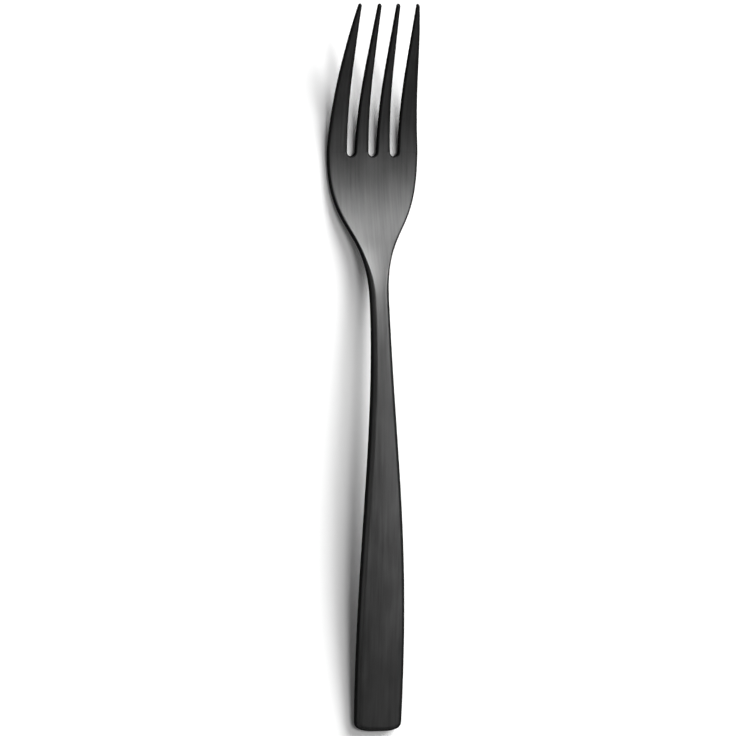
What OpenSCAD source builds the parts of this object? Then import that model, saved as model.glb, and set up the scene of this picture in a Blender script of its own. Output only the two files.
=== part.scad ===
// Cake fork stamped from one steel blank, thinned towards the tines, slotted and bent.
// The blank is divided into its zones: handle, neck, bowl and four tines.
// A station is a distance along the flat blank, from 0 at the handle end to blank_len at the tine tips.
// Sizes are in millimetres. The tines point to +Y, and the fork rests on the plane Z = 0.

/* [Blank] */
// Length of the flat blank before bending
blank_len = 158; // [140:0.5:230]
// Tine tips back to the narrowest part of the neck
head_len = 65.6; // [56:0.2:80]
// Tine tips back to the widest part of the head
shoulder_back = 33.4; // [26:0.2:40]
// Handle end forward to the widest part of the handle
grip_at = 12; // [6:0.5:30]

/* [Outline] */
// Width of the head at its widest
head_w = 20.2; // [17:0.1:26]
// Width of the neck at its narrowest
neck_w = 4.15; // [3:0.05:6]
// Width of the handle at its widest
handle_w = 10.6; // [8:0.1:14]
// Width of the handle just before its rounded end
end_w = 10.3; // [7:0.1:14]
// Length of the rounded end of the handle
end_round = 2.1; // [1:0.1:5]
// Length of the straight run of the outline at its widest
widest_pull = 1; // [0:0.1:4]
// Roundness of the shoulder, as a length along the blank
shoulder_pull = 18.6; // [10:0.2:24]
// Length of the curve that runs from the neck into the shoulder
neck_front_pull = 16.6; // [8:0.2:24]
// Length of the curve that runs from the neck into the handle
neck_back_pull = 29; // [10:0.5:40]
// Length of the curve that runs from the widest part of the handle to the neck
grip_pull = 34; // [10:0.5:40]

/* [Tines] */
// Tine tips back to the bottom of the slots
tine_len = 34.6; // [26:0.2:42]
// Width of each slot at its round end
slot_w = 1.95; // [1.4:0.05:2.6]
// Width of an inner tine at its root
inner_root_w = 2.9; // [2.2:0.1:3.6]
// Width of an inner tine at its tip
inner_tip_w = 0.75; // [0.6:0.05:1.6]
// Distance between the tips of the inner tines, centre to centre
inner_tip_pitch = 4.2; // [3.4:0.1:6]
// Width of an outer tine at its tip
outer_tip_w = 0.55; // [0.5:0.05:1.6]
// Width of the head over the tips of the outer tines
tip_spread = 13.5; // [12:0.1:20]
// Length over which an outer edge turns in towards its tip
tip_pull = 8; // [3:0.5:14]
// How far an outer edge turns in over that length
tip_turn = 1.7; // [0:0.1:3]
// Length of the rounded tip
tip_round = 0.5; // [0.3:0.1:1]

/* [Bends] */
// Downward arch of the handle, in degrees
arch_deg = 12.2; // [6:0.1:18]
// Handle end forward to the start of the arch
arch_at = 8.5; // [0:0.5:30]
// Tine tips back to the end of the arch
arch_back = 52.5; // [46:0.5:64]
// Extra downward bend at the neck, in degrees
dip_deg = 6.7; // [2:0.1:12]
// Tine tips back to the middle of the neck bend
dip_back = 64; // [54:0.5:72]
// Length of the neck bend
dip_len = 36; // [16:0.5:44]
// Upward sweep of the head, in degrees
sweep_deg = 38.8; // [26:0.1:50]
// Tine tips back to the start of the sweep
sweep_back = 53.6; // [46:0.2:60]
// Length of the sweep
sweep_len = 44; // [34:0.2:46]

/* [Thickness] */
// Thickness of the handle
handle_t = 3; // [2:0.1:4]
// Thickness of the neck
neck_t = 2.5; // [2:0.1:4]
// Thickness of the bowl at the bottom of the slots
bowl_t = 1.5; // [1.2:0.1:2.6]
// Length over which the neck thins into the shoulders
thin_len = 12; // [6:0.5:30]
// Thickness of a tine just before its rounded tip
tip_t = 1; // [0.8:0.1:1.8]

/* [Faces and edges] */
// Height of the crown across the top of the handle
handle_crown = 0.3; // [0:0.05:0.6]
// Depth of the dish across the top where the neck widens into the shoulders
shoulder_dish = 0.12; // [0:0.02:0.3]
// Narrowest part of the neck forward to the deepest part of the dish
dish_at = 8; // [4:0.5:14]
// Distance each way over which the dish fades out
dish_fade = 20; // [8:0.5:24]
// Edge radius along the handle
handle_edge_r = 1.1; // [0.3:0.05:1.3]
// Edge radius along the neck
neck_edge_r = 1; // [0.3:0.05:1.2]
// Edge radius along the tines and slots
tine_edge_r = 0.3; // [0.15:0.05:0.4]

/* [Hidden] */

steel = [0.13, 0.13, 0.13];
// Stations where one zone meets the next
front_at = blank_len - tine_len + slot_w / 2;
widest_at = blank_len - shoulder_back;
neck_at = blank_len - head_len;
// The neck zone reaches this far each way from its narrowest part
neck_reach = 10;
neck_from = neck_at - neck_reach;
neck_to = neck_at + neck_reach;
// Longest step between cross-sections in each zone
handle_step = 2.2;
neck_step = 1.6;
bowl_step = 1.3;
tine_step = 1.7;
// Number of facets round one edge fillet, and across the faces of the body and of a tine
edge_facets = 3;
face_facets = 8;
tine_facets = 1;
// Number of facets round the end of a slot, and across the roots of an inner and an outer tine
slot_facets = 8;
inner_facets = 2;
outer_facets = 3;
// Step along the blank used to lay out its bent centre line
path_step = 0.5;
// Shares of the thickness, and of the half width of a narrow place, that an edge radius may take
edge_share = 0.45;
narrow_share = 0.65;

function clamp01(u) = min(max(u, 0), 1);
function ease(u) = let (v = clamp01(u)) v * v * (3 - 2 * v);

// A curve given by four control values, and its value where its own length coordinate is x
function bezier(p, t) =
    p[0] * (1 - t) ^ 3
    + 3 * p[1] * t * (1 - t) ^ 2
    + 3 * p[2] * t ^ 2 * (1 - t)
    + p[3] * t ^ 3;
function bezier_t(p, x, lo = 0, hi = 1, n = 24) =
    let (m = (lo + hi) / 2)
    n == 0 ? m
    : bezier(p, m) < x ? bezier_t(p, x, m, hi, n - 1)
    : bezier_t(p, x, lo, m, n - 1);
function curve(along, across, x) = bezier(across, bezier_t(along, x));

// Half width of the blank at a station, without and with the rounded handle end
function tine_edge(s) = curve(
    [widest_at, widest_at + widest_pull, blank_len - tip_pull, blank_len],
    [head_w / 2, head_w / 2, tip_spread / 2 + tip_turn, tip_spread / 2], s);
function shoulder_edge(s) = curve(
    [neck_at, neck_at + neck_front_pull, widest_at - shoulder_pull, widest_at],
    [neck_w / 2, neck_w / 2, head_w / 2, head_w / 2], s);
function handle_edge(s) = curve(
    [grip_at, grip_at + grip_pull, neck_at - neck_back_pull, neck_at],
    [handle_w / 2, handle_w / 2, neck_w / 2, neck_w / 2], s);
function end_edge(s) = handle_w / 2 - (handle_w - end_w) / 2 * (1 - s / grip_at) ^ 2;
function end_rounding(s) = (1 - (1 - clamp01(s / end_round)) ^ 2.5) ^ (1 / 3.5);
function half_w(s) =
    s >= widest_at ? tine_edge(s)
    : s >= neck_at ? shoulder_edge(s)
    : s >= grip_at ? handle_edge(s)
    : end_edge(s) * end_rounding(s);

// A size that changes from the handle to the neck, and then from the neck to the bowl
thin_reach = min(thin_len, front_at - neck_at);
function along(s, at_handle, at_neck, at_bowl) =
    s < neck_at ? at_handle + (at_neck - at_handle) * ease((s - neck_at) / neck_back_pull + 1)
    : at_neck + (at_bowl - at_neck) * ease((s - neck_at) / thin_reach);
function tine_part(s) = clamp01((s - front_at) / (blank_len - front_at));
function thick(s) = along(s, handle_t, neck_t, bowl_t) + (tip_t - bowl_t) * tine_part(s);
function end_drop(s) = handle_edge_r - sqrt(handle_edge_r ^ 2 - max(handle_edge_r - s, 0) ^ 2);
function edge_r(s) = min(
    along(s, handle_edge_r, neck_edge_r, tine_edge_r),
    edge_share * thick(s),
    narrow_share * half_w(s));
function crown(s) = along(s, handle_crown, 0, 0) * clamp01(half_w(s) / handle_w * 2) ^ 2;
// The dish has faded out by the front of the bowl
dish_reach = min(dish_fade, front_at - neck_at - dish_at);
function dish(s) = shoulder_dish * ease(1 - abs(s - neck_at - dish_at) / dish_reach);

// Direction of the bent centre line at a station, before the fork is set down on the table
function bend(s) =
    sweep_deg * ease((s - blank_len + sweep_back) / sweep_len)
    - arch_deg * ease((s - arch_at) / (blank_len - arch_back - arch_at))
    - dip_deg * ease((s - blank_len + dip_back) / dip_len + 0.5);
path_n = ceil(blank_len / path_step);
path = [
    for (i = 0, y = 0, z = 0, a = bend(path_step / 2);
        i <= path_n;
        y = y + path_step * cos(a),
        z = z + path_step * sin(a),
        i = i + 1,
        a = bend((i + 0.5) * path_step))
        [y, z]
];
function centre(s) =
    let (i = min(floor(s / path_step), path_n), d = s - i * path_step, a = bend(i * path_step + d / 2))
    path[i] + d * [cos(a), sin(a)];
function above(s, n) = centre(s) + n * [-sin(bend(s)), cos(bend(s))];

// The table touches the lower edge of the handle end and the back of the bowl
function back(s) = above(s, -thick(s) / 2);
foot = back(handle_edge_r);
rest_deg = min([for (s = [neck_at : path_step : front_at]) let (d = back(s) - foot) atan2(d[1], d[0])]);
function level(p) = [
    p[0] * cos(rest_deg) + p[1] * sin(rest_deg),
    p[1] * cos(rest_deg) - p[0] * sin(rest_deg)
];
table_z = min(level(foot)[1], min([for (s = [neck_at : path_step : front_at]) level(back(s))[1]]));
end_y = level(above(0, handle_t / 2 - handle_edge_r))[0];
tip_y = level(centre(blank_len))[0];
middle_y = (end_y + tip_y) / 2;

// Point of the bent fork at a station, a distance x across the blank and n above its middle
function point(s, x, n) = let (p = level(above(s, n))) [x, p[0] - middle_y, p[1] - table_z];

// One side of a cross-section: a face that swells by rise at its edges, and the fillet beside it
function face_n(x, w, h, rise) = h + rise * (x / w) ^ 2;
function lean(w, r, rise) = atan(2 * rise * (w - r) / w ^ 2);
function face_reach(w, r, rise) = w - r - r * sin(lean(w, r, rise));
function face_pts(w, h, r, rise, facets) =
    let (e = face_reach(w, r, rise))
    [for (i = [0 : facets]) let (x = e * (2 * i / facets - 1)) [x, face_n(x, w, h, rise)]];
function fillet_pts(w, h, r, rise) =
    let (a = lean(w, r, rise), c = face_n(face_reach(w, r, rise), w, h, rise) - r * cos(a))
    [
        for (i = [1 : edge_facets])
            let (q = (90 + a) * (1 - i / edge_facets))
            [w - r + r * cos(q), c + r * sin(q)]
    ];
function mirrored(pts) = [for (p = pts) [-p[0], p[1]]];
function turned(pts) = [for (p = pts) [p[0], -p[1]]];
function reversed(pts) = [for (i = [len(pts) - 1 : -1 : 0]) pts[i]];

// Closed cross-section of half width w and thickness t, clockwise from the left end of its top face
function section(w, t, r, top_rise, back_rise, facets) =
    let (
        top = face_pts(w, t / 2, r, top_rise, facets),
        top_fillet = fillet_pts(w, t / 2, r, top_rise),
        under = turned(face_pts(w, t / 2, r, -back_rise, facets)),
        under_fillet = turned(fillet_pts(w, t / 2, r, -back_rise))
    )
    concat(top, top_fillet, reversed(under_fillet), reversed(under),
        mirrored(under_fillet), mirrored(reversed(top_fillet)));

function body_ring(s) =
    let (t = thick(s) - 2 * end_drop(s), w = half_w(s), r = min(edge_r(s), edge_share * t))
    [for (p = section(w, t, r, dish(s) - crown(s), dish(s), face_facets)) point(s, p[0], p[1])];

// Edges of a tine on the +X side, from the root at front_at to the tip
function to_tip(s, root, tip) = root + (tip - root) * tine_part(s);
function inner_left(s) = to_tip(s, slot_w / 2, (inner_tip_pitch - inner_tip_w) / 2);
function inner_right(s) = to_tip(s, slot_w / 2 + inner_root_w, (inner_tip_pitch + inner_tip_w) / 2);
function outer_left(s) = to_tip(s, slot_w * 1.5 + inner_root_w, tip_spread / 2 - outer_tip_w);
function tip_size(s) = sqrt(1 - clamp01((s - blank_len + tip_round) / tip_round) ^ 2);
function tine_ring(s, left, right) =
    let (k = tip_size(s), w = (right - left) / 2 * k, t = thick(s) * k)
    let (side_r = min(tine_edge_r, edge_share * t, narrow_share * w))
    [for (p = section(w, t, side_r, 0, 0, tine_facets)) point(s, p[0] + (left + right) / 2, p[1])];

// Stations from one place to another in equal steps no longer than step
function stations(from, to, step) =
    let (n = ceil((to - from) / step))
    [for (i = [0 : n]) from + (to - from) * i / n];
tip_from = blank_len - tip_round;
tine_stations = concat(
    stations(front_at, tip_from, tine_step),
    [for (a = [28, 52, 74]) tip_from + tip_round * sin(a)]);
end_stations = [for (a = [6, 14, 24, 36, 48, 60, 74]) end_round * (1 - cos(a))];

// Side of a tine at its root, as distances back from the side and heights above the middle
upper_side = [
    for (i = [0 : edge_facets])
        let (a = 90 * i / edge_facets)
        [tine_edge_r * (1 - sin(a)), bowl_t / 2 - tine_edge_r * (1 - cos(a))]
];
tine_side = concat(upper_side, reversed(turned(upper_side)));

// Front of the bowl, in columns that run from its top face to its underside.
// A column follows the side of a tine at an outer edge, and that side swept round the end of a slot.
function edge_column(x, out) = [for (p = tine_side) [front_at, x - out * p[0], p[1]]];
function slot_columns(x) = [
    for (i = [0 : slot_facets])
        let (a = 180 * i / slot_facets - 90)
        [for (p = tine_side) let (d = slot_w / 2 + p[0]) [front_at - d * cos(a), x + d * sin(a), p[1]]]
];
function between(from, to, n) = [for (i = [1 : n - 1]) from + (to - from) * i / n];
front_w = half_w(front_at);
left_column = edge_column(-front_w, -1);
right_column = edge_column(front_w, 1);
slots = [for (i = [-1 : 1]) slot_columns(i * (slot_w + inner_root_w))];
front_columns = concat(
    [left_column],
    between(left_column, slots[0][0], outer_facets),
    slots[0],
    between(slots[0][slot_facets], slots[1][0], inner_facets),
    slots[1],
    between(slots[1][slot_facets], slots[2][0], inner_facets),
    slots[2],
    between(slots[2][slot_facets], right_column, outer_facets),
    [right_column]);
column_n = len(front_columns);
column_len = len(tine_side);
front_ring = concat(
    [for (c = front_columns) c[0]],
    [for (i = [1 : column_len - 2]) right_column[i]],
    [for (c = reversed(front_columns)) c[column_len - 1]],
    [for (i = [column_len - 2 : -1 : 1]) left_column[i]]);

// Point of the bowl behind the front point p, part u of the way from the neck, on its top or underside
function bowl_reach(s, side) = face_reach(half_w(s), edge_r(s), side * dish(s));
function bowl_point(p, u, side) =
    let (
        s = neck_to + (p[0] - neck_to) * u,
        x = p[1] * bowl_reach(s, side) / bowl_reach(p[0], side)
    )
    [s, x, side * face_n(x, half_w(s), thick(s) / 2, side * dish(s))];
function bowl_side(u) =
    let (s = neck_to + (front_at - neck_to) * u, w = half_w(s), h = thick(s) / 2, r = edge_r(s))
    let (right = concat(fillet_pts(w, h, r, dish(s)), reversed(turned(fillet_pts(w, h, r, -dish(s))))))
    [for (p = right) [s, p[0], p[1]]];
function bowl_ring(u) =
    let (side = bowl_side(u))
    concat(
        [for (c = front_columns) bowl_point(c[0], u, 1)],
        side,
        [for (c = reversed(front_columns)) bowl_point(c[0], u, -1)],
        [for (p = reversed(side)) [p[0], -p[1], p[2]]]);

// Faces between rings of m points that follow one another
function ring_faces(rings, m) = [
    for (i = [0 : rings - 2], j = [0 : m - 1])
        let (k = (j + 1) % m)
        each [
            [i * m + j, (i + 1) * m + k, i * m + k],
            [i * m + j, (i + 1) * m + j, (i + 1) * m + k]
        ]
];

// Flat cap over a ring of n top points, side_n side points, n bottom points and side_n side points
function cap_faces(n, side_n) =
    let (m = 2 * (n + side_n))
    concat(
        [for (k = [0 : n - 2]) [k, k + 1, m - side_n - k - 2, m - side_n - k - 1]],
        [[for (j = [n - 1 : n + side_n]) j]],
        [[0, for (j = [m - side_n - 1 : m - 1]) j]]
    );

// Solid skin through a row of cross-sections that all have the same number of points
module skin(rings, facets) {
    m = len(rings[0]);
    last = (len(rings) - 1) * m;
    first_cap = cap_faces(facets + 1, m / 2 - facets - 1);
    last_cap = [for (face = first_cap) [for (j = reversed(face)) last + j]];
    polyhedron(
        [for (ring = rings) each ring],
        concat(ring_faces(len(rings), m), first_cap, last_cap),
        convexity = 6);
}

module handle() {
    color(steel)
        skin(
            [for (s = concat(end_stations, stations(end_round, neck_from, handle_step))) body_ring(s)],
            face_facets);
}

module neck() {
    color(steel)
        skin([for (s = stations(neck_from, neck_to, neck_step)) body_ring(s)], face_facets);
}

module bowl() {
    ring_n = ceil((front_at - neck_to) / bowl_step);
    rings = concat([for (i = [0 : ring_n - 1]) bowl_ring(i / ring_n)], [front_ring]);
    m = len(front_ring);
    last = ring_n * m;
    inside = [for (k = [1 : column_n - 2], i = [1 : column_len - 2]) front_columns[k][i]];
    // Where point i of column k stands among all the points: the front ring holds the outer ones
    function at(k, i) =
        i == 0 ? last + k
        : i == column_len - 1 ? last + 2 * column_n + column_len - 3 - k
        : k == column_n - 1 ? last + column_n + i - 1
        : k == 0 ? last + m - i
        : last + m + (k - 1) * (column_len - 2) + i - 1;
    front_faces = [
        for (k = [0 : column_n - 2], i = [0 : column_len - 2])
            each [
                [at(k + 1, i), at(k, i), at(k, i + 1)],
                [at(k + 1, i), at(k, i + 1), at(k + 1, i + 1)]
            ]
    ];
    neck_cap = cap_faces(column_n, column_len - 2);
    color(steel)
        polyhedron(
            [for (p = concat([for (ring = rings) each ring], inside)) point(p[0], p[1], p[2])],
            concat(ring_faces(ring_n + 1, m), front_faces, neck_cap),
            convexity = 10);
}

module inner_tine() {
    skin([for (s = tine_stations) tine_ring(s, inner_left(s), inner_right(s))], tine_facets);
}

module outer_tine() {
    skin([for (s = tine_stations) tine_ring(s, outer_left(s), half_w(s))], tine_facets);
}

module tine_outer_left() {
    color(steel)
        mirror([1, 0, 0])
        outer_tine();
}

module tine_inner_left() {
    color(steel)
        mirror([1, 0, 0])
        inner_tine();
}

module tine_inner_right() {
    color(steel)
        inner_tine();
}

module tine_outer_right() {
    color(steel)
        outer_tine();
}

handle();
neck();
bowl();
tine_outer_left();
tine_inner_left();
tine_inner_right();
tine_outer_right();
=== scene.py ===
import math
import bmesh
import bpy
from mathutils import Matrix, Vector


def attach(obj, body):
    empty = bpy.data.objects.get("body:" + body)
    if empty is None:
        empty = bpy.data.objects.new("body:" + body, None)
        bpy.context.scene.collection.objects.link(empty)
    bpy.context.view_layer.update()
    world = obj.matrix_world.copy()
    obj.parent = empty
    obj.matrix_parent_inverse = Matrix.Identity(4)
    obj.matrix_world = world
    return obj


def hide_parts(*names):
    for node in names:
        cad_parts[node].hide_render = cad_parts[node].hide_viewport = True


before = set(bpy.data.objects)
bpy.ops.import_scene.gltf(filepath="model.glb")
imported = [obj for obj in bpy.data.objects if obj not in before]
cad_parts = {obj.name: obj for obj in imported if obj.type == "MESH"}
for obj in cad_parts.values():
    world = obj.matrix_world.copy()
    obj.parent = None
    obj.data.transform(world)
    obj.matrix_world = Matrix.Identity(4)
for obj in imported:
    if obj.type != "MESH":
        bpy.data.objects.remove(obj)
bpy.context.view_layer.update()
print("frame loaded, zones:", ", ".join(sorted(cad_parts)))

mm = 0.001
weldGap = 0.000002  # metres
uvStep = 0.01
curveHalvings = 32  # steps of the search for a station on an outline curve

# the flat blank, in millimetres; a station s runs from the handle end to the tine tips
blank = {
    "length": 158.0, "headLength": 65.6, "shoulderBack": 33.4, "gripAt": 12.0, "neckReach": 10.0,
    "headWidth": 20.2, "neckWidth": 4.15, "handleWidth": 10.6, "endWidth": 10.3,
    "endRound": 2.1, "endPowers": (2.5, 3.5),  # the corners of the end, fuller with higher powers
    "widestPull": 1.0, "shoulderPull": 18.6, "neckFrontPull": 16.6, "neckBackPull": 29.0, "gripPull": 34.0,
    "handleThick": 3.0, "neckThick": 2.5, "bowlThick": 1.5, "tipThick": 1.0, "thinLength": 12.0,
    "handleCrown": 0.3, "shoulderDish": 0.12, "dishAt": 8.0, "dishFade": 20.0,
    "handleEdge": 1.1, "neckEdge": 1.0, "tineEdge": 0.3,
    "edgeShare": 0.45,  # the most of the thickness that one rounded edge may take
}
tines = {
    "length": 34.6, "slotWidth": 1.95, "innerRoot": 2.9, "innerTip": 0.75, "innerPitch": 4.2,
    "outerTip": 0.55, "tipSpread": 13.5, "tipPull": 8.0, "tipTurn": 1.7, "tipRound": 0.5,
}
# bends are in degrees, with the stations where they start and end
bends = {
    "arch": 12.2, "archFrom": 8.5, "archTo": 105.5,
    "dip": 6.7, "dipFrom": 76.0, "dipTo": 112.0,
    "sweep": 38.8, "sweepFrom": 104.4, "sweepTo": 148.4,
    "step": 0.5,
}
neckAt = blank["length"] - blank["headLength"]
widestAt = blank["length"] - blank["shoulderBack"]
rootAt = blank["length"] - tines["length"] + tines["slotWidth"] / 2
neckFrom, neckTo = neckAt - blank["neckReach"], neckAt + blank["neckReach"]  # the neck zone of the frame


def clamp(u):
    return min(max(u, 0.0), 1.0)


def ease(u):
    v = clamp(u)
    return v * v * (3 - 2 * v)


def bezier(p, t):
    return p[0] * (1 - t) ** 3 + 3 * p[1] * t * (1 - t) ** 2 + 3 * p[2] * t * t * (1 - t) + p[3] * t ** 3


def curve(along, across, s):
    lo, hi = 0.0, 1.0
    for _ in range(curveHalvings):
        mid = (lo + hi) / 2
        lo, hi = (mid, hi) if bezier(along, mid) < s else (lo, mid)
    return bezier(across, (lo + hi) / 2)


def straightEdge(s):  # handle outline behind its widest part, before the end is rounded
    narrowed = (blank["handleWidth"] - blank["endWidth"]) / 2
    return blank["handleWidth"] / 2 - narrowed * (1 - s / blank["gripAt"]) ** 2


def halfWidth(s):
    head, neck, grip = blank["headWidth"] / 2, blank["neckWidth"] / 2, blank["handleWidth"] / 2
    gripAt = blank["gripAt"]
    if s >= widestAt:
        tip, tipAt = tines["tipSpread"] / 2, blank["length"]
        reach = (widestAt, widestAt + blank["widestPull"], tipAt - tines["tipPull"], tipAt)
        return curve(reach, (head, head, tip + tines["tipTurn"], tip), s)
    if s >= neckAt:
        reach = (neckAt, neckAt + blank["neckFrontPull"], widestAt - blank["shoulderPull"], widestAt)
        return curve(reach, (neck, neck, head, head), s)
    if s >= gripAt:
        reach = (gripAt, gripAt + blank["gripPull"], neckAt - blank["neckBackPull"], neckAt)
        return curve(reach, (grip, grip, neck, neck), s)
    return straightEdge(s)


def along(s, atHandle, atNeck, atBowl):  # a size that changes at the neck and settles in the bowl
    if s < neckAt:
        return atHandle + (atNeck - atHandle) * ease((s - neckAt) / blank["neckBackPull"] + 1)
    return atNeck + (atBowl - atNeck) * ease((s - neckAt) / min(blank["thinLength"], rootAt - neckAt))


def tinePart(s):
    return clamp((s - rootAt) / (blank["length"] - rootAt))


def thickness(s):
    thinned = (blank["tipThick"] - blank["bowlThick"]) * tinePart(s)
    return along(s, blank["handleThick"], blank["neckThick"], blank["bowlThick"]) + thinned


def edgeRadius(s):
    wanted = along(s, blank["handleEdge"], blank["neckEdge"], blank["tineEdge"])
    return min(wanted, blank["edgeShare"] * thickness(s))


def dish(s):  # the top hollows slightly where the neck widens into the shoulders
    deepestAt = neckAt + blank["dishAt"]
    reach = min(blank["dishFade"], rootAt - deepestAt)
    return blank["shoulderDish"] * ease(1 - abs(s - deepestAt) / reach)


def topFace(s, x):
    crown = along(s, blank["handleCrown"], 0, 0) * (2 * x / blank["handleWidth"]) ** 2
    return thickness(s) / 2 - crown + dish(s) * (x / halfWidth(s)) ** 2


def backFace(s, x):
    return -thickness(s) / 2 + dish(s) * (x / halfWidth(s)) ** 2


def bendAt(s):
    up = bends["sweep"] * ease((s - bends["sweepFrom"]) / (bends["sweepTo"] - bends["sweepFrom"]))
    arch = bends["arch"] * ease((s - bends["archFrom"]) / (bends["archTo"] - bends["archFrom"]))
    dip = bends["dip"] * ease((s - bends["dipFrom"]) / (bends["dipTo"] - bends["dipFrom"]))
    return math.radians(up - arch - dip)


def layPath():  # bent centre line as (y, z) every step along the blank
    step = bends["step"]
    points = [(0.0, 0.0)]
    for i in range(math.ceil(blank["length"] / step)):
        a = bendAt((i + 0.5) * step)
        points.append((points[-1][0] + step * math.cos(a), points[-1][1] + step * math.sin(a)))
    return points


path = layPath()


def above(s, n):  # point at height n over the bent centre line, as (y, z)
    i = min(int(s / bends["step"]), len(path) - 1)
    d = s - i * bends["step"]
    a = bendAt(i * bends["step"] + d / 2)
    b = bendAt(s)
    return path[i][0] + d * math.cos(a) - n * math.sin(b), path[i][1] + d * math.sin(a) + n * math.cos(b)


def layDown():  # tilt and shift that rest the handle end and the bowl on the table
    footY, footZ = above(blank["handleEdge"], -thickness(blank["handleEdge"]) / 2)
    count = int((rootAt - neckAt) / bends["step"])
    backs = [neckAt + i * bends["step"] for i in range(count + 1)]
    backs = [above(s, -thickness(s) / 2) for s in backs]
    tilt = min(math.atan2(z - footZ, y - footY) for y, z in backs)

    def turn(p):
        y, z = p
        return y * math.cos(tilt) + z * math.sin(tilt), z * math.cos(tilt) - y * math.sin(tilt)

    low = min(turn(p)[1] for p in backs + [(footY, footZ)])
    ends = turn(above(0, blank["handleThick"] / 2 - blank["handleEdge"])), turn(above(blank["length"], 0))
    return turn, (ends[0][0] + ends[1][0]) / 2, low


turnDown, middleY, tableZ = layDown()


def place(s, x, n):
    y, z = turnDown(above(s, n))
    return Vector((x, y - middleY, z - tableZ)) * mm


def spread(lo, hi, step, seamGap=0.05):  # stations, with one close to each end so that seams shade evenly
    count = math.ceil((hi - lo) / step)
    inner = [lo + (hi - lo) * i / count for i in range(1, count)]
    return [lo, lo + seamGap] + inner + [hi - seamGap, hi]


# the brushing leaves plain matte coating on the walls and some way round onto the faces, and this band is
# also painted shade that draws a dark outline along the edges
# each pair is for edges that face left and right; the wider band on edges that face right is painted shade
# the reach is in millimetres or a share of the edge radius, whichever is more
sides = {
    "solid": (0.2, 0.5), "solidShare": (0.45, 1.2),
    "fade": (0.4, 0.25), "fadeShare": (0.9, 0.37),
    "slopeProbe": 0.02, "wallRows": (0.25, 0.5, 0.75),
}


# mask of coating and painted shade: 1 on the walls, fading out over the faces, reaching further on edges
# that face right
def coatAndShadeMask(distance, radius, rightward):  # rightward is 0 for an edge that faces left and 1 for right
    solid = [max(sides["solid"][i], sides["solidShare"][i] * radius) for i in (0, 1)]
    fade = [max(sides["fade"][i], sides["fadeShare"][i] * radius) for i in (0, 1)]
    start = solid[0] + (solid[1] - solid[0]) * rightward
    length = fade[0] + (fade[1] - fade[0]) * rightward
    return 1 - ease((distance - start) / length)


def rim(edge, out, radius, top, back, steps):
    # rounded side of the blank from the top face to the back; out points away from the metal
    probe = radius * sides["slopeProbe"]
    arcs = []
    for face, up in ((top, 1), (back, -1)):
        height = lambda d: up * face(edge[0] - d * out[0], edge[1] - d * out[1])
        lean = math.atan((height(radius - probe) - height(radius + probe)) / (2 * probe))
        middle = height(radius * (1 + math.sin(lean))) - radius * math.cos(lean)
        arc = []
        for i in range(steps + 1):
            q = (math.pi / 2 + lean) * (1 - i / steps)
            d = radius * (1 - math.cos(q))
            n = up * (middle + radius * math.sin(q))
            side = coatAndShadeMask(radius * q, radius, (1 + out[1]) / 2)
            arc.append((edge[0] - d * out[0], edge[1] - d * out[1], n, side))
        arcs.append(arc)
    s, x, high, _ = arcs[0][-1]
    low = arcs[1][-1][2]
    wall = [(s, x, high + (low - high) * f, 1) for f in sides["wallRows"]]
    return arcs[0] + wall + arcs[1][::-1]


def acrossFace(first, last, face, columns, radius):  # points over a face, closer together beside its edges
    row = []
    for k in range(columns + 1):
        f = 0.5 - 0.5 * math.cos(math.pi * k / columns)
        s, x = first[0] + (last[0] - first[0]) * f, first[1] + (last[1] - first[1]) * f
        inside = min(f, 1 - f) * abs(last[1] - first[1])
        rightward = 1 if 2 * x > first[1] + last[1] else 0
        row.append((s, x, face(s, x), coatAndShadeMask(inside + radius * math.pi / 2, radius, rightward)))
    return row


def section(s, left, right, radius, top, back, steps, columns):  # closed ring round the blank
    leftRim = rim((s, left), (0, -1), radius, top, back, steps)
    rightRim = rim((s, right), (0, 1), radius, top, back, steps)
    over = acrossFace(leftRim[0], rightRim[0], top, columns, radius)
    under = acrossFace(rightRim[-1], leftRim[-1], back, columns, radius)
    return over + rightRim[1:-1] + under + leftRim[-2:0:-1] + over[:1]


def bodySection(s, steps, columns):
    w = halfWidth(s)
    return section(s, -w, w, edgeRadius(s), topFace, backFace, steps, columns)


def makePiece(name, node, sheets):
    bm = bmesh.new()
    coatAndShadeLayer = bm.verts.layers.float.new("side")
    uvLayer = bm.loops.layers.uv.new("blank")
    for rows in sheets:
        grid = []
        for row in rows:
            line = []
            for s, x, n, side in row:
                v = bm.verts.new(place(s, x, n))
                v[coatAndShadeLayer] = side
                line.append(v)
            grid.append(line)
        for j in range(len(grid) - 1):
            for i in range(len(grid[j]) - 1):
                face = bm.faces.new((grid[j][i], grid[j][i + 1], grid[j + 1][i + 1], grid[j + 1][i]))
                face.smooth = True
                for loop, (u, v) in zip(face.loops, ((i, j), (i + 1, j), (i + 1, j + 1), (i, j + 1))):
                    loop[uvLayer].uv = (u * uvStep, v * uvStep)
    bmesh.ops.remove_doubles(bm, verts=bm.verts, dist=weldGap)
    # the flat faces where this zone meets the next one
    caps = bmesh.ops.holes_fill(bm, edges=[e for e in bm.edges if e.is_boundary])["faces"]
    for face in caps:
        face.smooth = False
        for e in face.edges:
            e.smooth = False
    bmesh.ops.recalc_face_normals(bm, faces=bm.faces)
    openEdges = sum(1 for e in bm.edges if len(e.link_faces) != 2)
    mesh = bpy.data.meshes.new(name)
    bm.to_mesh(mesh)
    bm.free()
    piece = bpy.data.objects.new(name, mesh)
    bpy.context.scene.collection.objects.link(piece)
    mesh.materials.append(satinSteel)
    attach(piece, "root")
    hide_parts(node)
    print(name, len(mesh.polygons), "faces,", len(caps), "caps,", openEdges, "open edges")
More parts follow.
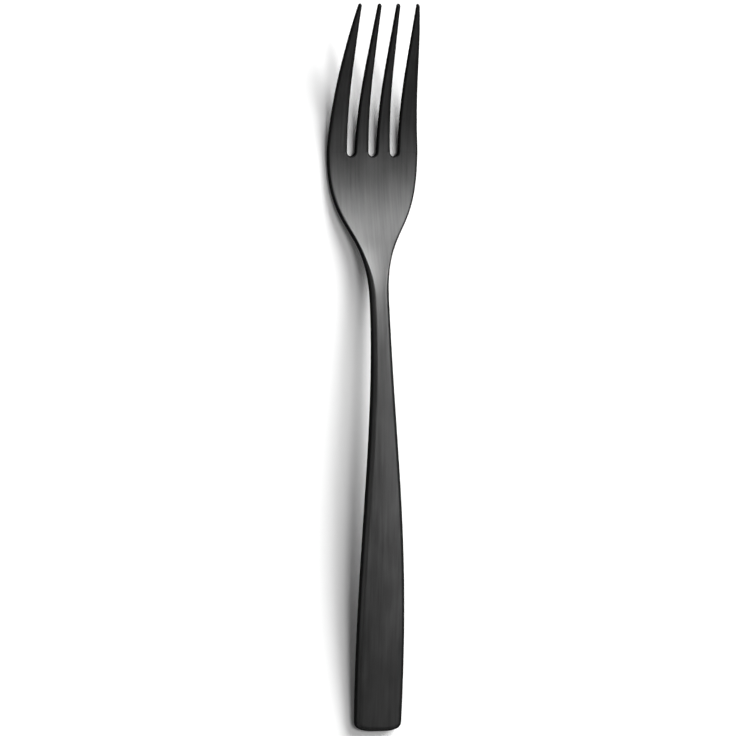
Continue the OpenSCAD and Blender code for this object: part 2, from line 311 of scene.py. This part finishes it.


# satin black steel, brushed along the blank, with matte black sides that also carry painted shade along
# the edges, and a painted sheen along the handle
finish = {
    "plain": ((0.101, 0.101, 0.101, 1), (0.139, 0.139, 0.139, 1)),
    # lighter tones of the painted sheen along the handle's middle
    "paintedSheen": ((0.13, 0.13, 0.13, 1), (0.19, 0.19, 0.19, 1)),
    "paintedSheenEnds": ((-0.064, -0.052), (-0.005, -0.035)),  # where the painted sheen fades in and out along Y
    # near-black colour of the coating, also used as painted shade along the edges
    "coatAndShade": (0.01, 0.01, 0.01, 1), "coatShine": 0.0,
    "coatFrom": 0.6,  # the metal starts to fade where the side mask passes this share
    "streakScale": (2300, 90, 90), "streakDetail": 3,
    "smudgeScale": (220, 110, 220), "smudgeDetail": 3,
    "mottle": 0.45,  # share of smudge in the mottling
    "toneStops": (0.3, 0.7),  # noise levels of the darker and the lighter tone
    "rough": (0.37, 0.45), "roughSpan": (0.7, 1.3),  # the span is of both noises added up
    "grainScale": (9000, 160, 160), "grainDetail": 2, "grainBump": 0.1, "grainDepth": 0.00002,
}


def makeSteel():
    mat = bpy.data.materials.new("satinBlackSteel")
    mat.use_nodes = True
    nodes, links = mat.node_tree.nodes, mat.node_tree.links
    nodes.clear()
    out = nodes.new("ShaderNodeOutputMaterial")
    steel = nodes.new("ShaderNodeBsdfPrincipled")
    steel.inputs["Specular IOR Level"].default_value = finish["coatShine"]
    links.new(steel.outputs["BSDF"], out.inputs["Surface"])
    coords = nodes.new("ShaderNodeTexCoord")

    def noise(scale, detail):
        mapping = nodes.new("ShaderNodeMapping")
        mapping.inputs["Scale"].default_value = scale
        tex = nodes.new("ShaderNodeTexNoise")
        tex.inputs["Scale"].default_value = 1.0
        tex.inputs["Detail"].default_value = detail
        links.new(coords.outputs["Object"], mapping.inputs["Vector"])
        links.new(mapping.outputs["Vector"], tex.inputs["Vector"])
        return tex.outputs["Fac"]

    streak = noise(finish["streakScale"], finish["streakDetail"])
    grain = noise(finish["grainScale"], finish["grainDetail"])
    smudge = noise(finish["smudgeScale"], finish["smudgeDetail"])

    mottle = nodes.new("ShaderNodeMix")
    mottle.inputs["Factor"].default_value = finish["mottle"]
    links.new(streak, mottle.inputs["A"])
    links.new(smudge, mottle.inputs["B"])

    def tone(shades):
        ramp = nodes.new("ShaderNodeValToRGB")
        for element, stop, shade in zip(ramp.color_ramp.elements, finish["toneStops"], shades):
            element.position = stop
            element.color = shade
        links.new(mottle.outputs["Result"], ramp.inputs["Fac"])
        return ramp.outputs["Color"]

    # painted sheen: the base colour is made lighter along the middle of the handle, standing in for
    # reflected light
    axes = nodes.new("ShaderNodeSeparateXYZ")
    links.new(coords.outputs["Object"], axes.inputs["Vector"])
    grip = nodes.new("ShaderNodeMath")
    grip.operation = "MULTIPLY"
    for i, reach in enumerate(finish["paintedSheenEnds"]):
        fade = nodes.new("ShaderNodeMapRange")
        fade.interpolation_type = "SMOOTHSTEP"
        fade.inputs["From Min"].default_value = reach[0]
        fade.inputs["From Max"].default_value = reach[1]
        links.new(axes.outputs["Y"], fade.inputs["Value"])
        links.new(fade.outputs["Result"], grip.inputs[i])
    paintedSheen = nodes.new("ShaderNodeMix")
    paintedSheen.data_type = "RGBA"
    links.new(grip.outputs[0], paintedSheen.inputs["Factor"])
    links.new(tone(finish["plain"]), paintedSheen.inputs["A"])
    links.new(tone(finish["paintedSheen"]), paintedSheen.inputs["B"])

    # the brushing stays on the faces, and the rounded sides keep the matte black coating, which also
    # darkens the edges as painted shade
    side = nodes.new("ShaderNodeAttribute")
    side.attribute_name = "side"
    colour = nodes.new("ShaderNodeMix")
    colour.data_type = "RGBA"
    colour.inputs["B"].default_value = finish["coatAndShade"]
    links.new(side.outputs["Fac"], colour.inputs["Factor"])
    links.new(paintedSheen.outputs["Result"], colour.inputs["A"])
    links.new(colour.outputs["Result"], steel.inputs["Base Color"])
    metal = nodes.new("ShaderNodeMapRange")
    metal.inputs["From Min"].default_value = finish["coatFrom"]
    metal.inputs["To Min"].default_value = 1.0
    metal.inputs["To Max"].default_value = 0.0
    links.new(side.outputs["Fac"], metal.inputs["Value"])
    links.new(metal.outputs["Result"], steel.inputs["Metallic"])

    both = nodes.new("ShaderNodeMath")
    both.operation = "ADD"
    links.new(streak, both.inputs[0])
    links.new(smudge, both.inputs[1])
    rough = nodes.new("ShaderNodeMapRange")
    rough.inputs["From Min"].default_value = finish["roughSpan"][0]
    rough.inputs["From Max"].default_value = finish["roughSpan"][1]
    rough.inputs["To Min"].default_value = finish["rough"][0]
    rough.inputs["To Max"].default_value = finish["rough"][1]
    links.new(both.outputs[0], rough.inputs["Value"])
    links.new(rough.outputs["Result"], steel.inputs["Roughness"])

    bump = nodes.new("ShaderNodeBump")
    bump.inputs["Strength"].default_value = finish["grainBump"]
    bump.inputs["Distance"].default_value = finish["grainDepth"]
    links.new(grain, bump.inputs["Height"])
    links.new(bump.outputs["Normal"], steel.inputs["Normal"])
    return mat


satinSteel = makeSteel()
print("material made:", satinSteel.name)

# handle: a plain loft, with the faces and the rounded side carried round its end
handle = {
    "joinAt": 6.0, "step": 1.0, "edgeSteps": 6, "columns": 40, "outlineSteps": 44,
    "roundSamples": 400, "straightSamples": 20,
}


def endEdge(count):
    # right half of the end outline from its middle, in equal steps, each with its outward direction
    length, samples, straight = blank["endRound"], handle["roundSamples"], handle["straightSamples"]
    lengthPower, widthPower = blank["endPowers"]
    dense = []
    for i in range(samples + 1):
        t = math.pi / 2 * i / samples
        s = length * (1 - math.cos(t) ** (2 / lengthPower))
        dense.append((s, straightEdge(s) * math.sin(t) ** (2 / widthPower)))
    for i in range(1, straight + 1):
        s = length + (handle["joinAt"] - length) * i / straight
        dense.append((s, straightEdge(s)))
    run = [0.0]
    for a, b in zip(dense, dense[1:]):
        run.append(run[-1] + math.dist(a, b))
    points = []
    for i in range(count + 1):
        want = run[-1] * i / count
        j = max(k for k in range(len(run) - 1) if run[k] <= want)
        f = (want - run[j]) / (run[j + 1] - run[j])
        s = dense[j][0] + (dense[j + 1][0] - dense[j][0]) * f
        x = dense[j][1] + (dense[j + 1][1] - dense[j][1]) * f
        w = straightEdge(s)
        ns = lengthPower / length * max(1 - s / length, 0) ** (lengthPower - 1)
        nx = widthPower / w * min(x / w, 1) ** (widthPower - 1)
        size = math.hypot(ns, nx)
        points.append(((s, x), (-ns / size, nx / size)))
    return points


def fillPatch(start, end, left, right, face):  # face points between four edges
    rows = []
    for j in range(len(left)):
        v = j / (len(left) - 1)
        row = []
        for k in range(len(start)):
            u = k / (len(start) - 1)
            p = []
            for c in (0, 1):
                edges = (1 - v) * start[k][c] + v * end[k][c] + (1 - u) * left[j][c] + u * right[j][c]
                corners = (1 - u) * (1 - v) * start[0][c] + u * (1 - v) * start[-1][c]
                p.append(edges - corners - (1 - u) * v * end[0][c] - u * v * end[-1][c])
            row.append((p[0], p[1], face(p[0], p[1]), 0))
        rows.append(row)
    return rows


def buildHandle():
    steps, columns = handle["edgeSteps"], handle["columns"]
    half = endEdge(handle["outlineSteps"])
    outline = [((s, -x), (ns, -nx)) for (s, x), (ns, nx) in half[:0:-1]] + half
    rims = [rim(edge, out, blank["handleEdge"], topFace, backFace, steps) for edge, out in outline]
    sideCount = (len(rims) - 1 - columns) // 2
    sheets = [rims]
    for pick, face in ((0, topFace), (-1, backFace)):
        around = [r[pick] for r in rims]
        start = acrossFace(around[0], around[-1], face, columns, blank["handleEdge"])
        left, end = around[:sideCount + 1], around[sideCount:sideCount + columns + 1]
        right = around[:sideCount + columns - 1:-1]
        sheets.append(fillPatch(start, end, left, right, face))
    stations = spread(handle["joinAt"], neckFrom, handle["step"])
    sheets.append([bodySection(s, steps, columns) for s in stations])
    makePiece("forkHandle", "handle", sheets)


buildHandle()

# neck: the narrow loft between handle and bowl
neck = {"step": 0.7, "edgeSteps": 7, "columns": 24}


def buildNeck():
    stations = spread(neckFrom, neckTo, neck["step"])
    rows = [bodySection(s, neck["edgeSteps"], neck["columns"]) for s in stations]
    makePiece("forkNeck", "neck", [rows])


buildNeck()

# bowl: its faces run out to the tine roots and to the round ends of the three slots
bowl = {"step": 0.6, "edgeSteps": 6, "slotSteps": 20, "innerSteps": 6, "outerSteps": 10}


def frontEdge():  # rims along the front of the bowl: its left side, the three slot ends, its right side
    steps, radius = bowl["edgeSteps"], blank["tineEdge"]
    pitch, slotRadius = tines["slotWidth"] + tines["innerRoot"], tines["slotWidth"] / 2
    high = lambda s, x: blank["bowlThick"] / 2
    low = lambda s, x: -blank["bowlThick"] / 2
    w = halfWidth(rootAt)
    slots = []
    for centre in (-pitch, 0, pitch):
        slot = []
        for i in range(bowl["slotSteps"] + 1):
            a = math.pi * i / bowl["slotSteps"] - math.pi / 2
            edge = (rootAt - slotRadius * math.cos(a), centre + slotRadius * math.sin(a))
            slot.append(rim(edge, (math.cos(a), -math.sin(a)), radius, high, low, steps))
        slots.append(slot)
    left = rim((rootAt, -w), (0, -1), radius, high, low, steps)
    right = rim((rootAt, w), (0, 1), radius, high, low, steps)
    return left, slots, right


def rootRun(first, last, count):  # top or back points across the root of one tine, without its ends
    return [tuple(a + (b - a) * i / count for a, b in zip(first, last)) for i in range(1, count)]


def buildBowl():
    left, slots, right = frontEdge()
    sheets = list(slots)
    stations = spread(neckTo, rootAt, bowl["step"])
    parts = [(s - neckTo) / (rootAt - neckTo) for s in stations]
    for pick, face in ((0, topFace), (-1, backFace)):
        front, last = [left[pick]], left[pick]
        for slot in slots:
            count = bowl["outerSteps"] if slot is slots[0] else bowl["innerSteps"]
            front += rootRun(last, slot[0][pick], count) + [r[pick] for r in slot]
            last = slot[-1][pick]
        front += rootRun(last, right[pick], bowl["outerSteps"]) + [right[pick]]
        reach = lambda s: rim((s, halfWidth(s)), (0, 1), edgeRadius(s), topFace, backFace, 1)[pick][1]
        rows = []
        for part in parts[:-1]:
            row = []
            for endS, endX, _, _ in front:
                s = neckTo + (endS - neckTo) * part
                x = endX * reach(s) / reach(endS)
                radius = edgeRadius(s)
                inside = reach(s) - abs(x)
                side = coatAndShadeMask(inside + radius * math.pi / 2, radius, 1 if x > 0 else 0)
                row.append((s, x, face(s, x), side))
            rows.append(row)
        sheets.append(rows + [front])
    for facing in (-1, 1):
        rows = []
        for s in stations:
            edge = (s, facing * halfWidth(s))
            rows.append(rim(edge, (0, facing), edgeRadius(s), topFace, backFace, bowl["edgeSteps"]))
        sheets.append(rows)
    makePiece("forkBowl", "bowl", sheets)


buildBowl()

# tines: four tapered lofts that end in small domes
tine = {
    "step": 0.6, "edgeSteps": 6, "columns": 6, "domeSteps": 8,
    "edgeOfHeight": 0.9, "edgeOfWidth": 0.65,  # the most of a half section that its rounded edge may take
}


def toTip(s, root, tip):
    return root + (tip - root) * tinePart(s)


def innerRight(s):
    slotEdge = tines["slotWidth"] / 2
    left = toTip(s, slotEdge, (tines["innerPitch"] - tines["innerTip"]) / 2)
    right = toTip(s, slotEdge + tines["innerRoot"], (tines["innerPitch"] + tines["innerTip"]) / 2)
    return left, right


def outerRight(s):  # the outer side follows the outline of the head
    slotEdge = tines["slotWidth"] / 2 + tines["innerRoot"] + tines["slotWidth"]
    return toTip(s, slotEdge, tines["tipSpread"] / 2 - tines["outerTip"]), halfWidth(s)


def onLeft(edges):  # the same tine on the other side
    return lambda s: tuple(-x for x in reversed(edges(s)))


def tineSection(s, edges):
    left, right = edges(s)
    size = math.sqrt(max(1 - clamp((s - blank["length"]) / tines["tipRound"] + 1) ** 2, 0))
    middle, half, high = (left + right) / 2, (right - left) / 2 * size, thickness(s) / 2 * size
    radius = min(blank["tineEdge"], tine["edgeOfHeight"] * high, tine["edgeOfWidth"] * half)
    steps, columns = tine["edgeSteps"], tine["columns"]
    if radius == 0:  # the tip, where the whole ring is one point
        facePoints, rimPoints = columns + 1, 2 * steps + len(sides["wallRows"])
        return [(s, middle, 0, 1)] * (2 * facePoints + 2 * rimPoints + 1)
    top = lambda s, x: high
    back = lambda s, x: -high
    return section(s, middle - half, middle + half, radius, top, back, steps, columns)


def buildTine(name, node, edges):
    domeAt = blank["length"] - tines["tipRound"]
    stations = spread(rootAt, domeAt, tine["step"])
    for i in range(1, tine["domeSteps"] + 1):
        stations.append(domeAt + tines["tipRound"] * math.sin(math.pi / 2 * i / tine["domeSteps"]))
    stations[-1] = blank["length"]
    makePiece(name, node, [[tineSection(s, edges) for s in stations]])


buildTine("outerTineLeft", "tine_outer_left", onLeft(outerRight))
buildTine("innerTineLeft", "tine_inner_left", onLeft(innerRight))
buildTine("innerTineRight", "tine_inner_right", innerRight)
buildTine("outerTineRight", "tine_outer_right", outerRight)

# white table, which the camera and the metal see as pure white
floor = {"size": 4.0, "colour": (0.85, 0.85, 0.85, 1), "seen": (1, 1, 1, 1)}


def makeFloor():
    mat = bpy.data.materials.new("whiteTable")
    mat.use_nodes = True
    nodes, links = mat.node_tree.nodes, mat.node_tree.links
    nodes.clear()
    out = nodes.new("ShaderNodeOutputMaterial")
    plain = nodes.new("ShaderNodeBsdfDiffuse")
    plain.inputs["Color"].default_value = floor["colour"]
    seen = nodes.new("ShaderNodeBsdfDiffuse")
    seen.inputs["Color"].default_value = floor["seen"]
    rays = nodes.new("ShaderNodeLightPath")
    shiny = nodes.new("ShaderNodeMath")
    shiny.operation = "MAXIMUM"
    either = nodes.new("ShaderNodeMath")
    either.operation = "MAXIMUM"
    pick = nodes.new("ShaderNodeMixShader")
    links.new(rays.outputs["Is Glossy Ray"], shiny.inputs[0])
    links.new(rays.outputs["Is Transmission Ray"], shiny.inputs[1])
    links.new(rays.outputs["Is Camera Ray"], either.inputs[0])
    links.new(shiny.outputs[0], either.inputs[1])
    links.new(either.outputs[0], pick.inputs["Fac"])
    links.new(plain.outputs["BSDF"], pick.inputs[1])
    links.new(seen.outputs["BSDF"], pick.inputs[2])
    links.new(pick.outputs["Shader"], out.inputs["Surface"])
    half = floor["size"] / 2
    corners = [(-half, -half, 0), (half, -half, 0), (half, half, 0), (-half, half, 0)]
    mesh = bpy.data.meshes.new("table")
    mesh.from_pydata(corners, [], [(0, 1, 2, 3)])
    mesh.materials.append(mat)
    obj = bpy.data.objects.new("table", mesh)
    bpy.context.scene.collection.objects.link(obj)


makeFloor()

# a large softbox beyond the tines on the right, and two smaller lamps that the metal doesn't mirror
lampsAway = 2.0
lamps = {
    "softbox": {"towards": (0.58, 0.58, 0.575), "size": (1.35, 1.35), "watts": 57.0, "mirrored": True},
    "topLamp": {"towards": (0.2, 0.0, 0.98), "size": (0.6, 0.6), "watts": 11.0, "mirrored": False},
    "tableLamp": {"towards": (0.3, 0.9, 0.36), "size": (0.8, 0.3), "watts": 11.8, "mirrored": False},
}
# the room is darker overhead on the left and towards the handle end, with a pale wall far on the left
room = {
    "dark": (0.02, 0.02, 0.02, 1), "light": (0.32, 0.32, 0.32, 1),
    "fades": {"X": (-0.3, 0.9, 0.25), "Y": (-0.26, 0.17, 0.56)},  # from, to, and the light left at from
    "wall": (0.36, 0.36, 0.36, 1), "wallReach": (-0.4, -0.85),
}


def makeLights():
    for name, lamp in lamps.items():
        data = bpy.data.lights.new(name, "AREA")
        data.shape = "RECTANGLE"
        data.size, data.size_y = lamp["size"]
        data.energy = lamp["watts"]
        obj = bpy.data.objects.new(name, data)
        towards = Vector(lamp["towards"]).normalized()
        obj.location = towards * lampsAway
        obj.rotation_mode = "QUATERNION"
        obj.rotation_quaternion = towards.to_track_quat("Z", "Y")
        obj.visible_camera = False
        obj.visible_glossy = lamp["mirrored"]
        bpy.context.scene.collection.objects.link(obj)
    world = bpy.data.worlds.new("room")
    world.use_nodes = True
    nodes, links = world.node_tree.nodes, world.node_tree.links
    coords = nodes.new("ShaderNodeTexCoord")
    axes = nodes.new("ShaderNodeSeparateXYZ")
    links.new(coords.outputs["Generated"], axes.inputs["Vector"])
    both = nodes.new("ShaderNodeMath")
    both.operation = "MULTIPLY"
    for i, (axis, (fadeFrom, fadeTo, left)) in enumerate(room["fades"].items()):
        fade = nodes.new("ShaderNodeMapRange")
        fade.interpolation_type = "SMOOTHSTEP"
        fade.inputs["From Min"].default_value = fadeFrom
        fade.inputs["From Max"].default_value = fadeTo
        fade.inputs["To Min"].default_value = left
        links.new(axes.outputs[axis], fade.inputs["Value"])
        links.new(fade.outputs["Result"], both.inputs[i])
    air = nodes.new("ShaderNodeMix")
    air.data_type = "RGBA"
    air.inputs["A"].default_value = room["dark"]
    air.inputs["B"].default_value = room["light"]
    links.new(both.outputs[0], air.inputs["Factor"])
    wall = nodes.new("ShaderNodeMapRange")
    wall.interpolation_type = "SMOOTHSTEP"
    wall.inputs["From Min"].default_value = room["wallReach"][0]
    wall.inputs["From Max"].default_value = room["wallReach"][1]
    links.new(axes.outputs["X"], wall.inputs["Value"])
    walls = nodes.new("ShaderNodeMix")
    walls.data_type = "RGBA"
    walls.inputs["B"].default_value = room["wall"]
    links.new(wall.outputs["Result"], walls.inputs["Factor"])
    links.new(air.outputs["Result"], walls.inputs["A"])
    links.new(walls.outputs["Result"], nodes["Background"].inputs["Color"])
    bpy.context.scene.world = world


makeLights()

# camera over the fork, leaning to its left side, with the tines at the top of the picture
camera = {
    "lean": 19.0, "roll": -0.45, "distance": 2.0, "aim": (-0.95, 0.1),
    "lens": 457.6, "sensor": 36, "clipStart": 0.05,
}


def makeCamera():
    lean, roll = math.radians(camera["lean"]), math.radians(camera["roll"])
    back = Vector((-math.sin(lean), 0, math.cos(lean)))
    flatRight, flatUp = Vector((math.cos(lean), 0, math.sin(lean))), Vector((0, 1, 0))
    right = flatRight * math.cos(roll) + flatUp * math.sin(roll)
    up = flatUp * math.cos(roll) - flatRight * math.sin(roll)
    aim = (right * camera["aim"][0] + up * camera["aim"][1]) * mm
    data = bpy.data.cameras.new("photoCamera")
    data.sensor_width = camera["sensor"]
    data.lens = camera["lens"]
    data.clip_start = camera["clipStart"]
    obj = bpy.data.objects.new("photoCamera", data)
    turn = Matrix((right, up, back)).transposed().to_4x4()
    obj.matrix_world = Matrix.Translation(aim + back * camera["distance"]) @ turn
    bpy.context.scene.collection.objects.link(obj)
    bpy.context.scene.camera = obj


makeCamera()
bpy.context.scene.view_settings.view_transform = "Standard"
print("stage, lights and camera made")
